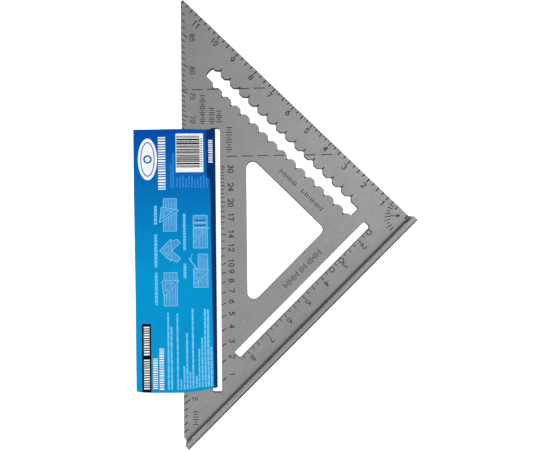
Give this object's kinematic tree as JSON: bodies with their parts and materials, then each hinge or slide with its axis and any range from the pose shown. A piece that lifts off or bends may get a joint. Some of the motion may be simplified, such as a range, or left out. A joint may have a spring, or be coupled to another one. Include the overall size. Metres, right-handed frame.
{
  "type": "speed square",
  "caption": "Cast aluminium rafter square with a T fence, scribing slots, recessed scales and a folded printed card sleeve.",
  "frame": {"origin": "pivot corner, where the ruler edge meets the zero line of the fence, at mid thickness of the blade", "axes": "+X out of the ruler edge, +Y along the ruler edge towards the tip, +Z out of the printed face"},
  "size_m": [0.3112, 0.3151, 0.022],
  "materials": {
    "cast_aluminium": "die cast, tumbled satin",
    "printed_card": "printed and varnished card",
    "plain_card": "uncoated grey card",
    "dried_glue": "dried glue"
  },
  "bodies": {
    "square": {"blade": "cast_aluminium", "fence": "cast_aluminium"},
    "card_sleeve": {"card_front_panel": "printed_card", "card_back_panel": "plain_card", "card_spine": "printed_card", "card_glue_seam": "dried_glue"}
  },
  "joints": [
    {"name": "sleeve_slide", "type": "slide", "parent": "square", "child": "card_sleeve", "axis": [0.7071, 0.7071, 0], "range_m": [-0.004, 0]}
  ]
}
